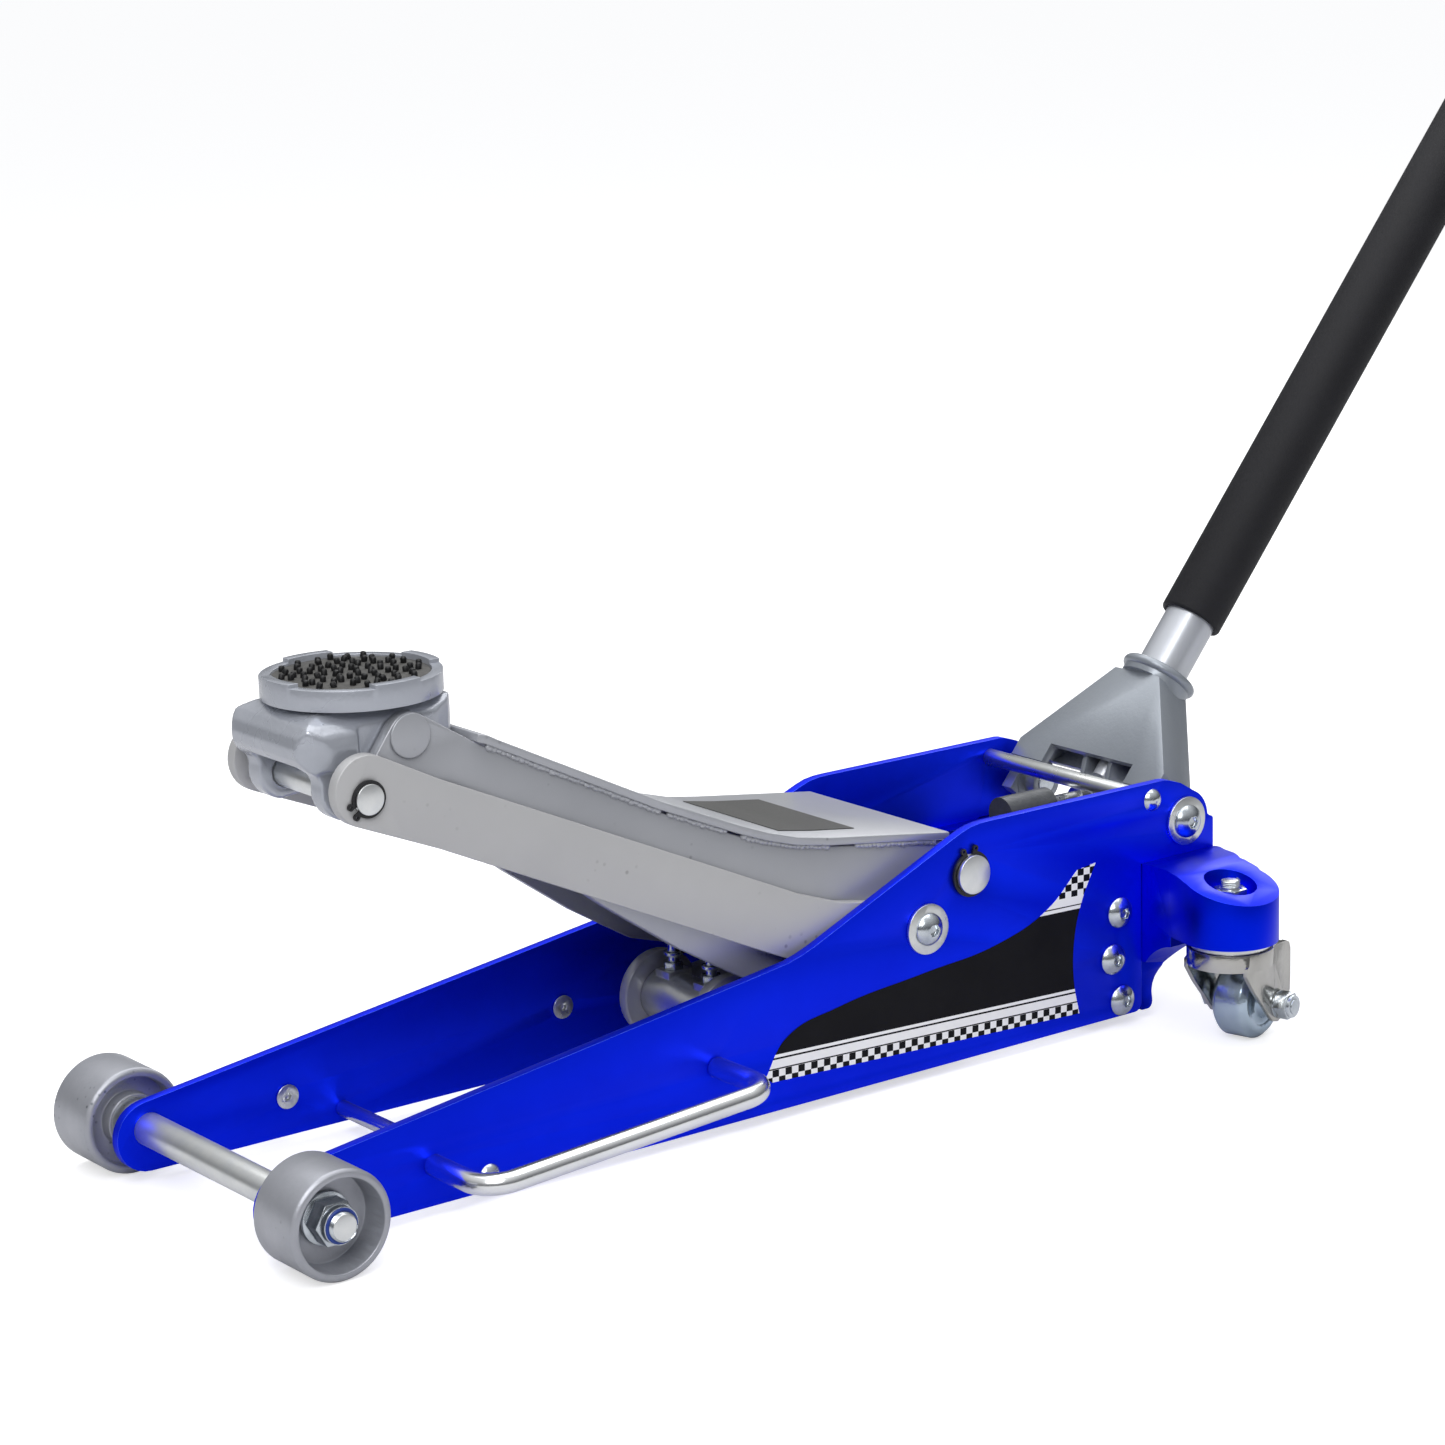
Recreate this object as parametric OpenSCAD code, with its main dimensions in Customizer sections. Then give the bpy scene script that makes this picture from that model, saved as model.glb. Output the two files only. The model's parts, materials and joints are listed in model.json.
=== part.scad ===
// Low-profile hydraulic trolley jack, arm part raised.
// Millimetres, +Z up, +X to the rear (handle end), -Y is the left side.
// Working coordinates start on the floor below the front axle; every node is
// then shifted along X so that the origin is at the bottom centre of the whole jack.

/* [Front wheels] */
// Front wheel radius
wheel_r = 32.5; // [28:0.5:40]
// Front wheel width
wheel_w = 42.5; // [30:0.5:55]
// Distance from the centre plane to the outer wheel face
wheel_y = 138.5; // [120:0.5:160]
// Axle radius
axle_r = 10; // [8:0.5:12]

/* [Side plates] */
// Inner face of a side plate from the centre plane
plate_in = 78; // [65:0.5:95]
// Side plate thickness
plate_t = 6.5; // [4:0.5:10]
// Bottom edge height
plate_z = 6.5; // [4:0.5:15]
// Top edge height
plate_top = 158.5; // [140:0.5:180]

/* [Linkage] */
// Main shaft X
ax = 499; // [470:1:520]
// Main shaft Z
az = 127.5; // [110:0.5:140]
// Link bolt X
bx = 463; // [440:1:480]
// Link bolt Z
bz = 98.5; // [85:0.5:110]
// Arm head pin X
cx = 113.5; // [100:0.5:130]
// Arm head pin Z
cz = 275; // [250:0.5:300]
// Main shaft radius
shaft_r = 12.5; // [10:0.5:15]

/* [Power unit] */
// Drive pin distance below the main shaft
drive_r = 72.5; // [60:0.5:85]
// Crosshead X
hx = 343; // [330:1:360]
// Cylinder outer radius
cyl_r = 29; // [24:0.5:32]

/* [Handle] */
// Handle pivot X
px = 684; // [670:1:700]
// Handle pivot Z
pz = 128.3; // [110:0.5:140]
// Handle angle above the horizontal
handle_a = 49.9; // [45:0.1:60]
// Handle tube radius
tube_r = 17.5; // [14:0.5:20]
// Handle end measured from the pivot
handle_l = 1180; // [900:10:1300]
// Foam sleeve outer radius
foam_r = 21.5; // [19:0.5:25]

/* [Rear casters] */
// Caster stem X
sx = 654; // [640:1:680]
// Caster stem distance from the centre plane
sy = 158; // [140:1:170]
// Caster wheel radius
cw_r = 25; // [20:0.5:30]
// Caster wheel width
cw_w = 26; // [18:0.5:30]
// Swivel angle of the fork
cast_a = 14.5; // [0:1:45]

/* [Node] */
// Node to draw

/* [Hidden] */
$fn = 96;
e = 0.01;
plate_out = plate_in + plate_t;
// lower head pin closes the parallelogram with the two frame pins
dx = cx - (ax - bx);
dz = cz - (az - bz);
// drive pin straight below the main shaft
pinx = ax;
pinz = az - drive_r;
ha = 90 - handle_a;
// total extent along X for the origin
x_max = px + handle_l * cos(handle_a) + 19.5 * sin(handle_a) - 5 * sin(handle_a);
x_min = -wheel_r;
x_mid = (x_max + x_min) / 2;

// ---------- helpers ----------
module place() { translate([-x_mid, 0, 0]) children(); }
module both() { children(); mirror([0, 1, 0]) children(); }
// round bar along Y from y0 to y1
module bar_y(r, y0, y1, f = 96) { translate([0, y0, 0]) rotate([-90, 0, 0]) cylinder(r = r, h = y1 - y0, $fn = f); }
// bar along X from x0 to x1
module bar_x(r, x0, x1, f = 96) { translate([x0, 0, 0]) rotate([0, 90, 0]) cylinder(r = r, h = x1 - x0, $fn = f); }
// XZ outline given thickness from y0 to y1
module slab(y0, y1, pts) { translate([0, y1, 0]) rotate([90, 0, 0]) linear_extrude(y1 - y0) polygon(pts); }
// XY outline given height from z0 to z1
module plan(z0, z1, pts) { translate([0, 0, z0]) linear_extrude(z1 - z0) polygon(pts); }
function arc(x, z, r, a0, a1, n = 12) = [for (i = [0 : n]) [x + r * cos(a0 + (a1 - a0) * i / n), z + r * sin(a0 + (a1 - a0) * i / n)]];
// frame of the handle: local z along the handle, local x to its front, origin at the pivot
module on_handle() { translate([px, 0, pz]) rotate([0, ha, 0]) children(); }
module hex_y(af, y0, y1) { bar_y(af / sqrt(3), y0, y1, 6); }

// ---------- frame ----------
function side_pts() = concat(
  arc(0, 28, 21.5, 270, 98, 14), [[340, 96.2], [354, 98.3], [364, 101], [374, 104.6]],
  [[486, 152.2], [493, 155], [500, 157.2], [508, 158.3], [516, plate_top], [665, plate_top], [669, 158], [680.5, 154.2]],
  arc(px, pz, 20.5, 66, 8, 8), [[704.6, 129.2], [706.5, 127.8], [708.8, 127], [709.5, 125.6], [709.5, 106.2], [645, 106.2]], arc(639, 12.5, 6, 0, -90, 5));
module side_plate() {
  color([0.02, 0.1, 0.75]) difference() {
    slab(-plate_out, -plate_in, side_pts());
    translate([0, 0, wheel_r]) bar_y(axle_r + 0.05, -90, -70);
    translate([132.3, 0, 15.3]) bar_y(4.1, -90, -70);
    translate([ax, 0, az]) bar_y(shaft_r + 0.05, -90, -70);
    translate([bx, 0, bz]) bar_y(7.05, -90, -70);
    translate([px, 0, pz]) bar_y(7.05, -90, -70);
    translate([655.5, 0, 147]) bar_y(3.1, -90, -70);
    for (p = [[94, 31.3], [297, 44.9]]) translate([p[0], 0, p[1]]) bar_y(4.1, -90, -70);
    for (p = [[625.4, 77.1], [619.4, 46.6], [627.2, 17.4]]) translate([p[0], 0, p[1]]) bar_y(5.1, -90, -70);
  }
}
module side_plate_left() { side_plate(); }
module side_plate_right() { mirror([0, 1, 0]) side_plate(); }

module front_axle() {
  color([0.75, 0.75, 0.72]) translate([0, 0, wheel_r]) union() {
    bar_y(axle_r, -119.2, 119.2);
    bar_y(8, -141.5, 141.5);
  }
}
module axle_spacers() {
  color([0.15, 0.15, 0.17]) both() translate([0, 0, wheel_r]) difference() {
    bar_y(16, -95.6, -84.8);
    bar_y(axle_r + 0.05, -97, -83);
  }
}
module axle_nuts() {
  color([0.78, 0.78, 0.8]) both() translate([0, 0, wheel_r]) difference() {
    union() {
      bar_y(15.5, -122, -119.6);
      hex_y(24, -133, -121.9);
      bar_y(11, -137.5, -132.9);
    }
    bar_y(8.03, -139, -118);
  }
}
module tie_rod() {
  color([0.7, 0.7, 0.72]) translate([132.3, 0, 15.3]) union() {
    bar_y(5, -77.9, 77.9);
    bar_y(4, -84.4, 84.4);
  }
}
module rod_screws() {
  color([0.8, 0.8, 0.8]) both() {
    translate([132.3, -84.5, 15.3]) rotate([90, 0, 0]) intersection() {
      translate([0, 0, -5.5]) sphere(r = 9.2);
      cylinder(r = 7.4, h = 6);
    }
    translate([655.5, -84.5, 147]) rotate([90, 0, 0]) intersection() {
      translate([0, 0, -4.6]) sphere(r = 8.8);
      cylinder(r = 7.5, h = 6);
    }
  }
}
module carry_handle() {
  ex = 297 - 94;
  tilt = atan2(44.9 - 31.3, ex);
  len = sqrt(ex * ex + 13.6 * 13.6);
  color([0.85, 0.85, 0.87]) translate([94, 0, 31.3]) rotate([0, -tilt, 0]) union() {
    bar_y(6.6, -121, -84.6);
    translate([0, -121, 0]) translate([19, 0, 0]) rotate([0, 0, 180]) rotate_extrude(angle = 90) translate([19, 0]) circle(r = 6.6);
    translate([0, -140, 0]) bar_x(6.6, 19, len - 19);
    translate([len - 19, -121, 0]) rotate([0, 0, -90]) rotate_extrude(angle = 90) translate([19, 0]) circle(r = 6.6);
    translate([len, 0, 0]) bar_y(6.6, -121, -84.6);
  }
}
module carry_handle_left() { carry_handle(); }
module carry_handle_right() { mirror([0, 1, 0]) carry_handle(); }
module carry_handle_screws() {
  color([0.75, 0.75, 0.76]) both() for (p = [[94, 31.3], [297, 44.9]]) translate([p[0], 0, p[1]]) difference() {
    union() {
      bar_y(4, -84.5, -77.9);
      bar_y(7.6, -77.9, -76.6);
    }
    bar_y(2.6, -79.5, -76, 6);
  }
}
module cross_bar() {
  color([0.78, 0.78, 0.76]) translate([655.5, 0, 147]) union() {
    bar_y(5.6, -77.9, 77.9);
    bar_y(3, -84.4, 84.4);
  }
}
module main_shaft() {
  color([0.8, 0.8, 0.8]) translate([ax, 0, az]) difference() {
    bar_y(shaft_r, -90, 90);
    both() difference() {
      bar_y(14, -87, -85);
      bar_y(11.6, -88, -84);
    }
  }
}
module clip_ring(r_out, r_in, t, ang) {
  rotate([0, ang, 0]) rotate([90, 0, 0]) linear_extrude(t) union() {
    difference() {
      circle(r = r_out);
      circle(r = r_in);
      polygon([[0, 0], [r_out * 1.5, -r_out * 0.24], [r_out * 1.5, r_out * 0.24]]);
    }
    for (s = [-1, 1]) translate([r_out + 0.9, s * r_out * 0.33]) difference() {
      circle(r = 2.1);
      circle(r = 0.9);
    }
  }
}
module shaft_clips() {
  color([0.06, 0.06, 0.07]) both() translate([ax, -85.2, az]) clip_ring(14.8, 11.65, 1.5, -95);
}
module button_bolt(y_face, head_r, head_h, shank_r, y_in) {
  difference() {
    union() {
      translate([0, -y_face, 0]) rotate([90, 0, 0]) intersection() {
        translate([0, 0, head_h - head_r * 1.25]) sphere(r = head_r * 1.25);
        cylinder(r = head_r, h = head_h + 1);
      }
      bar_y(shank_r, -y_face - 0.5, -y_in);
    }
    bar_y(head_r * 0.36, -y_face - head_h - 2, -y_face - head_h + 3.2, 6);
  }
}
module link_bolts() {
  color([0.82, 0.82, 0.82]) both() translate([bx, 0, bz]) button_bolt(87, 10.5, 6.2, 7, 68.6);
}
module pivot_bolts() {
  color([0.82, 0.82, 0.82]) both() translate([px, 0, pz]) button_bolt(87, 11, 6.6, 7, 51.5);
}
module plate_washers() {
  color([0.7, 0.7, 0.68]) both() for (p = [[bx, bz], [px, pz]]) translate([p[0], 0, p[1]]) difference() {
    bar_y(16.2, -86.95, -84.52);
    bar_y(7.1, -88, -84);
  }
}
function bracket_side() = concat([[604, 8.5], [606, plate_z], [650, plate_z]], arc(650, 12.5, 6, -90, 0, 5),
  arc(684, 15, 28, 176, 92, 8), [[700, 46], [706, 52], [711, 62], [711, 105.5], [604, 105.5]]);
// height of the arm above the floor, seen along X: a low hump, then down towards the caster
function bracket_top() = [[-84.4, 60], [-84.4, 106.2], [-92, 106.6], [-100, 107.8], [-110, 109.8], [-120, 111.8], [-129, 112.8], [-138, 112.2],
  [-148, 110.1], [-200, 95.8], [-200, 60]];
function bracket_plan() = concat([[711, -84], [711, -90], [686, -134], [686, -150]], arc(sx, -sy, 31, 8, -186, 44), [[624.5, -146], [628, -130], [645.3, -94], [645.3, -84]]);
module caster_bracket() {
  color([0.02, 0.1, 0.72]) difference() {
    union() {
      slab(-77.9, -66, bracket_side());
      intersection() {
        slab(-84.5, -77.8, bracket_side());
        translate([645.3, -90, 0]) cube([80, 20, 106]);
      }
      intersection() {
        translate([600, 0, 0]) rotate([90, 0, 90]) linear_extrude(130) polygon(bracket_top());
        plan(70, 120, bracket_plan());
      }
      slab(-112, -84.4, [[645.3, 40], [645.3, 72], [711, 72], [711, 66], [690, 56], [664, 36]]);
    }
    translate([600, -118, 20]) rotate([0, 90, 0]) cylinder(r = 36, h = 120);
    translate([sx, -sy, 93]) cylinder(r = 17, h = 30);
    translate([sx, -sy, 60]) cylinder(r = 6.1, h = 40);
    for (p = [[625.4, 77.1], [619.4, 46.6], [627.2, 17.4]]) translate([p[0], 0, p[1]]) bar_y(5.1, -90, -60);
  }
}
module caster_bracket_left() { caster_bracket(); }
module caster_bracket_right() { mirror([0, 1, 0]) caster_bracket(); }
module bracket_bolts() {
  color([0.82, 0.82, 0.82]) both() for (p = [[625.4, 77.1], [619.4, 46.6], [627.2, 17.4]])
    translate([p[0], 0, p[1]]) button_bolt(84.55, 10.4, 6.4, 5, 66.5);
}

// ---------- power unit ----------
module pump_block() {
  color([0.45, 0.46, 0.48]) difference() {
    union() {
      translate([598, -65.7, 16]) cube([57, 131.4, 64]);
      translate([598, -34, 79]) cube([48, 68, 33]);
      translate([598, 0, 131]) bar_x(12, 0, 40);
      translate([598, -9, 110]) cube([40, 18, 20]);
    }
    for (s = [-1, 1]) translate([600, s * 10, 101]) bar_x(5.56, 0, 60);
    translate([0, 0, 131]) bar_x(5.06, 600, 650);
  }
}
module ram_cylinder() {
  color([0.4, 0.41, 0.43]) translate([0, 0, pinz]) difference() {
    union() {
      bar_x(cyl_r, 422, 597.9);
      bar_x(24, 412, 422.1, 6);
      bar_x(31, 560, 574);
      for (s = [-1, 1]) translate([556, s * 20 - 3, 20]) cube([10, 6, 18]);
    }
    bar_x(14.06, 405, 430);
    bar_x(20.06, 428, 592);
  }
}
module release_valve() {
  color([0.6, 0.6, 0.6]) translate([0, 0, 131]) union() {
    bar_x(5, 604, 671);
    bar_x(8, 664, 672);
    translate([679.5, 0, 0]) sphere(r = 6.5);
    translate([670, -5, -2.5]) cube([9, 10, 5]);
  }
}
module ram_rod() {
  color([0.8, 0.8, 0.82]) translate([0, 0, pinz]) union() {
    bar_x(14, hx + 12, 532);
    bar_x(20, 528, 545);
  }
}
module crosshead() {
  color([0.72, 0.72, 0.7]) translate([hx, 0, pinz]) difference() {
    union() {
      bar_y(17, -32.5, 32.5);
      both() bar_y(11.9, -44, -32);
      both() translate([-9, -27, 0]) cube([18, 14, 19]);
    }
    bar_x(14.06, 11.9, 30);
    both() translate([0, -20, 4]) cylinder(r = 3.55, h = 30);
  }
}
module hook_bolts() {
  color([0.75, 0.78, 0.82]) both() translate([hx, -20, pinz]) union() {
    translate([0, 0, 5]) cylinder(r = 3.5, h = 32);
    translate([0, 0, 19.1]) cylinder(r = 6.6, h = 5, $fn = 6);
    translate([0, 0, 28]) cylinder(r = 6, h = 2.5);
    translate([0, 0, 36]) cylinder(r = 5, h = 3);
  }
}
module drag_links() {
  color([0.62, 0.63, 0.66]) both() difference() {
    slab(-41, -33, concat(arc(hx, pinz, 28, 25, 335, 36), arc(pinx, 60, 22, -75, 75, 18)));
    translate([hx, 0, pinz]) bar_y(11.95, -45, -30);
    slab(-45, -30, concat(arc(pinx, pinz - 0.4, 8.95, 180, 360, 16), arc(pinx, 65.3, 8.95, 0, 180, 16)));
  }
}
module return_springs() {
  color([0.08, 0.08, 0.09]) both() translate([0, -20, 88]) union() {
    bar_x(4.9, 352, 556);
    for (i = [0 : 27]) translate([358 + i * 7, 0, 0]) rotate([0, 90, 0]) cylinder(r = 7.2, h = 3.4);
  }
}
module pump_plungers() {
  color([0.8, 0.8, 0.82]) both() translate([0, -10, 101]) union() {
    bar_x(5.5, 620, 668);
    bar_x(7, 667.9, 671.6);
  }
}

// ---------- lift arm ----------
function arm_plan() = [[70, -42], [150, -42], [430, -60], [570, -60], [570, -68], [430, -68], [150, -50], [70, -50]];
function arm_side() = concat([[89, 265], [102, 282.5]], arc(cx, cz, 13.5, 130, 55, 6),
  [[144, 272], [160, 261.8], [168, 257.8], [279.5, 201.8], [333, 178.4], [354, 170.4], [376, 163.8], [400, 159.6], [480, 148.2]],
  arc(ax, az, 18.5, 80, -40, 10), arc(pinx, pinz, 17, 20, -105, 10),
  [[450, 52], [400, 68], [335, 88], [290, 115], [240, 150], [180, 196], [135, 232], [100, 246], [91, 256]]);
module arm_plate() {
  color([0.6, 0.61, 0.65]) difference() {
    intersection() {
      slab(-90, -30, arm_side());
      plan(0, 320, arm_plan());
    }
    translate([ax, 0, az]) bar_y(shaft_r + 0.06, -90, -30);
    translate([cx, 0, cz]) bar_y(9.95, -90, -30);
    translate([pinx, 0, pinz]) bar_y(8.02, -90, -30);
  }
}
module arm_plate_left() { arm_plate(); }
module arm_plate_right() { mirror([0, 1, 0]) arm_plate(); }
function cover_top() = [[158, 269], [164, 267.2], [170, 263.8], [279.5, 208.8], [335, 184.6], [355.4, 176.6], [376.8, 170.2], [400, 166], [494.6, 152.5]];
function cover_bot() = [[494, 147.5], [399.2, 161], [375.4, 165.2], [353.6, 171.8], [333, 179.8], [277.3, 204.2], [167.8, 259.3], [162.6, 262], [157, 264]];
module arm_cover() {
  color([0.62, 0.63, 0.66]) intersection() {
    slab(-80, 80, concat(cover_top(), cover_bot()));
    plan(100, 300, [[150, -52], [165, -54], [400, -70], [500, -71], [500, 71], [400, 70], [165, 54], [150, 52]]);
  }
}
module arm_hub_tube() {
  color([0.6, 0.61, 0.65]) translate([ax, 0, az]) difference() {
    bar_y(17, -59.9, 59.9);
    bar_y(shaft_r + 0.06, -61, 61);
  }
}
module head_pins() {
  color([0.65, 0.66, 0.7]) both() translate([cx, 0, cz]) union() {
    bar_y(9.9, -50.4, -26);
    bar_y(13.3, -51.8, -50.05);
  }
}
module drive_pins() {
  color([0.7, 0.7, 0.72]) both() translate([pinx, 0, pinz]) union() {
    bar_y(8, -67.5, -32);
    bar_y(13, -59.9, -42);
  }
}
function link_plan() = [[40, -52.1], [100, -52.1], [425, -69], [520, -69], [520, -77], [425, -77], [100, -60.1], [40, -60.1]];
function link_side() = concat(arc(dx, dz + 4.3, 21, 245, 65, 22),
  [[125.3, 249.3], [374, 135.4], [402, 125.5], [430, 120.6]], arc(bx, bz, 20.5, 92, -100, 16),
  [[430, 79], [400, 83.5], [359.5, 98], [123.3, 208.5]]);
module link() {
  color([0.6, 0.61, 0.63]) difference() {
    intersection() {
      slab(-90, -30, link_side());
      plan(0, 320, link_plan());
    }
    translate([bx, 0, bz]) bar_y(7.06, -90, -30);
    translate([dx, 0, dz]) bar_y(9.02, -90, -30);
  }
}
module link_left() { link(); }
module link_right() { mirror([0, 1, 0]) link(); }
module lower_pin() {
  color([0.75, 0.75, 0.77]) translate([dx, 0, dz]) difference() {
    bar_y(9, -63.5, 63.5);
    both() difference() {
      bar_y(12, -62.1, -60.5);
      bar_y(8.3, -62.5, -59.5);
    }
  }
}
module lower_pin_clips() {
  color([0.05, 0.05, 0.06]) both() translate([dx, -60.6, dz]) clip_ring(11, 8.35, 1.3, 150);
}
// ---------- saddle ----------
function head_side() = concat(arc(dx, dz + 2, 18.5, 255, 165, 10), [[57.5, 258], [52, 262], [47.5, 268], [46, 274], [48, 281], [53, 286.6], [60, 290.4], [69, 292.4]],
  [[141, 292.4]], arc(cx, cz, 43.5, 21, -28, 8), [[141, 250.6], [126, 249], [110, 247], [98, 238], [92, 232]]);
function head_plan() = [[44, -30], [47, -36], [55, -42.5], [65, -46], [82.2, -46], [83.7, -41.4], [138, -41.4], [149, -36], [156, -27], [160, -14], [160, 14],
  [156, 27], [149, 36], [138, 41.4], [83.7, 41.4], [82.2, 46], [65, 46], [55, 42.5], [47, 36], [44, 30]];
function head_front() = [[-46, 200], [-46, 274], [-44, 281], [-39, 287], [-32, 291], [-25, 292.4], [25, 292.4], [32, 291], [39, 287], [44, 281], [46, 274], [46, 200]];
module saddle_head() {
  color([0.6, 0.61, 0.65]) difference() {
    intersection() {
      slab(-50, 50, head_side());
      plan(200, 300, head_plan());
      translate([30, 0, 0]) rotate([90, 0, 90]) linear_extrude(150) polygon(head_front());
    }
    // lower cheeks stay inside the links
    for (s = [-1, 1]) translate([30, s > 0 ? 41.4 : -61.4, 215]) cube([80, 20, 46]);
    translate([cx, 0, cz]) bar_y(9.96, -60, -20);
    translate([cx, 0, cz]) bar_y(9.96, 20, 60);
    translate([dx, 0, dz]) bar_y(9.06, -60, 60);
    // window between the cheeks
    translate([30, -28, 220]) cube([64, 56, 42]);
    translate([107, 0, 262]) cylinder(r = 12.06, h = 40);
  }
}
module saddle_cup() {
  color([0.62, 0.62, 0.66]) translate([107, 0, 0]) difference() {
    union() {
      translate([0, 0, 293]) cylinder(r = 53, h = 12.3);
      intersection() {
        translate([0, 0, 305]) cylinder(r = 53, h = 2.6);
        for (a = [0 : 90 : 270]) rotate([0, 0, a]) translate([30, -15, 300]) cube([30, 30, 20]);
      }
      translate([0, 0, 264]) cylinder(r = 12, h = 30);
    }
    translate([0, 0, 300]) cylinder(r = 46.5, h = 20);
  }
}
module saddle_insert() {
  color([0.42, 0.42, 0.4]) translate([107, 0, 300.05]) cylinder(r = 46.2, h = 4.2);
}
module saddle_nubs() {
  color([0.05, 0.05, 0.05]) translate([107, 0, 304.3]) union() {
    for (k = [[0, 1], [12, 6], [23, 11], [33, 16], [42, 21]]) for (i = [0 : k[1] - 1])
      rotate([0, 0, i * 360 / k[1] + k[0] * 7]) translate([k[0], 0, 0]) cylinder(r = 2.3, h = 4, $fn = 24);
  }
}

// ---------- front wheels ----------
module front_wheel() {
  color([0.6, 0.61, 0.63]) translate([0, -wheel_y, wheel_r]) rotate([-90, 0, 0]) rotate_extrude() difference() {
    polygon([[axle_r + 0.06, 0], [wheel_r - 2, 0], [wheel_r, 2], [wheel_r, wheel_w - 2], [wheel_r - 2, wheel_w], [axle_r + 0.06, wheel_w]]);
    polygon([[0, -1], [27.5, -1], [26.5, 19.3], [0, 19.3]]);
    polygon([[17, wheel_w - 9], [27, wheel_w - 9], [27.5, wheel_w + 1], [17, wheel_w + 1]]);
  }
}
module front_wheel_left() { front_wheel(); }
module front_wheel_right() { mirror([0, 1, 0]) front_wheel(); }

// ---------- handle ----------
// local coordinates of the yoke: x runs to the rear face, -x to the front face, z along the handle
function yoke_out() = [[-71, -16], [-71, 19], [-21.5, 85], [21.5, 85], [71, 19], [71, -16]];
function yoke_rear() = [[-71, 17.5], [-71, 19], [-21.5, 85], [21.5, 85], [71, 19], [71, 17.5]];
function yoke_in() = [[-62, -30], [-62, 16], [-13, 77], [13, 77], [62, 16], [62, -30]];
module on_yoke_face(x0, x1, pts) { translate([x1, 0, 0]) rotate([0, -90, 0]) rotate([0, 0, -90]) linear_extrude(x1 - x0) polygon(pts); }
module handle_yoke() {
  color([0.58, 0.59, 0.62]) on_handle() difference() {
    union() {
      difference() {
        union() {
          on_yoke_face(-24, -1.5, yoke_out());
          on_yoke_face(-1.6, 8, yoke_rear());
        }
        on_yoke_face(-18, 3, yoke_in());
      }
      both() bar_y(17, -71, -61.5);
      both() bar_y(11.5, -62, -52);
      intersection() {
        translate([-5, 0, 60]) cylinder(r = 24, h = 26);
        translate([-23.9, -30, 50]) cube([60, 60, 40]);
      }
      translate([-5, 0, 85.9]) cylinder(r = 24, h = 7.1);
      translate([-5, 0, 93]) rotate_extrude() translate([20, -3.4]) square([3, 6.8]);
      translate([-5, 0, 93]) rotate_extrude() translate([22.9, 0]) circle(r = 3.5);
      // cheeks that carry the roller
      both() rotate([0, -ha, 0]) slab(-14, -10.3, [[-8.5, -27.3], [-6.6, -32], [-2, -33.8], [2.6, -32], [4.5, -27.3], [7, -2], [17.8, 24.2], [7.4, 38], [0.9, 30.6], [-6.5, 2]]);
    }
    // front window
    translate([-30, -40.5, -30]) cube([14, 81, 50]);
    translate([-5, 0, 40]) cylinder(r = tube_r + 0.06, h = 70);
    translate([-30, -75.5, -40]) cube([12.5, 151, 46]);
    both() bar_y(7.06, -90, -50);
    translate([0, 0, 0]) rotate([0, -ha, 0]) translate([-2, 0, -27.3]) bar_y(3.06, -30, 30);
  }
}
module pump_roller() {
  color([0.8, 0.8, 0.8]) translate([px - 2, 0, pz - 27.3]) union() {
    bar_y(9, -8.6, 8.6);
    bar_y(3, -14.5, 14.5);
  }
}
module lower_tube() {
  color([0.66, 0.67, 0.7]) on_handle() translate([-5, 0, 0]) difference() {
    union() {
      translate([0, 0, 44]) cylinder(r = tube_r, h = 576);
      translate([0, 0, 12]) cylinder(r = 7, h = 40);
      translate([0, 0, 40]) cylinder(r = 15.3, h = 8);
    }
    translate([0, 0, 52]) cylinder(r = 15.05, h = 600);
    translate([0, 0, 597]) rotate([90, 0, 0]) cylinder(r = 4.1, h = 30);
  }
}
module foam_sleeve() {
  color([0.03, 0.03, 0.035]) on_handle() translate([-5, 0, 0]) difference() {
    translate([0, 0, 138]) cylinder(r = foam_r, h = 440);
    translate([0, 0, 130]) cylinder(r = tube_r + 0.02, h = 500);
  }
}
module upper_tube() {
  color([0.66, 0.67, 0.7]) on_handle() translate([-5, 0, 0]) difference() {
    union() {
      translate([0, 0, 560]) cylinder(r = 15, h = 70);
      translate([0, 0, 620.1]) cylinder(r = tube_r, h = handle_l - 622.1);
      translate([0, 0, 597]) rotate([90, 0, 0]) cylinder(r = 4, h = 19);
    }
    translate([0, 0, 555]) cylinder(r = 12.6, h = handle_l);
  }
}
module grip() {
  color([0.04, 0.04, 0.045]) on_handle() translate([-5, 0, 0]) difference() {
    translate([0, 0, handle_l - 135]) cylinder(r = 19.5, h = 135);
    translate([0, 0, handle_l - 140]) cylinder(r = tube_r + 0.02, h = 138);
  }
}

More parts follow.
